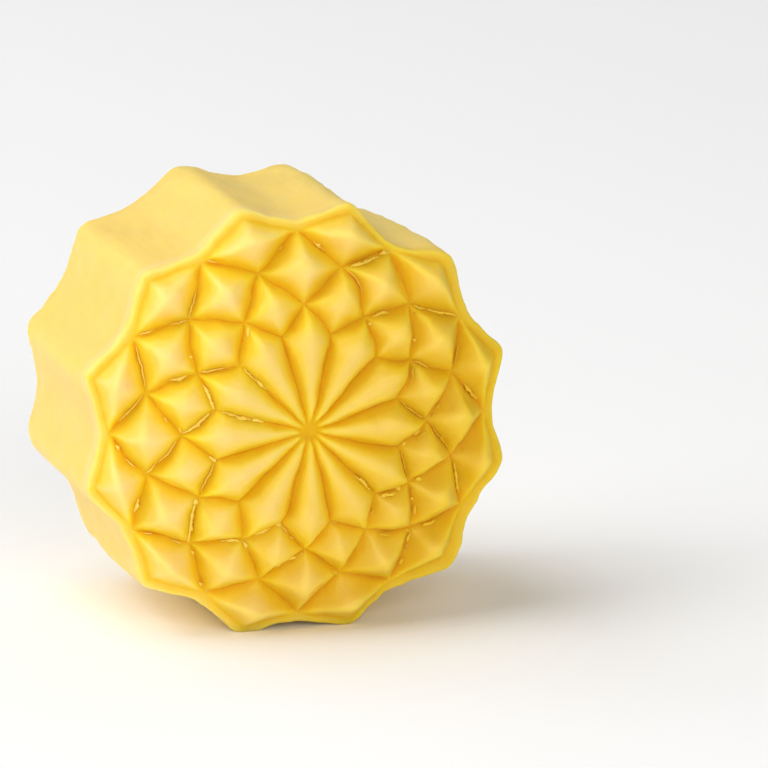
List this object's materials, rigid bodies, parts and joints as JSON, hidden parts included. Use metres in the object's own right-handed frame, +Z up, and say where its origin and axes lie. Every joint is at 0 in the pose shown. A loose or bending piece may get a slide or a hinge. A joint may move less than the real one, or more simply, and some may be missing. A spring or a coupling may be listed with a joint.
{
  "type": "mooncake",
  "caption": "Whole moulded mooncake standing on its edge, with a domed face of soft pyramids and petals, a narrow rim, a fluted wall and a flat base.",
  "frame": {"origin": "centre of the bounding box on the surface that the cake stands on, between its two lowest flutes", "axes": "+Z up, the patterned face towards -Y and the flat base towards +Y, so the cake's own axis runs along Y"},
  "size_m": [0.0484, 0.0344, 0.0481],
  "materials": {
    "custard_skin": "soft waxy yellow skin, slightly translucent, with a dull sheen"
  },
  "bodies": {
    "root": {"mooncake": "custard_skin"}
  },
  "joints": []
}
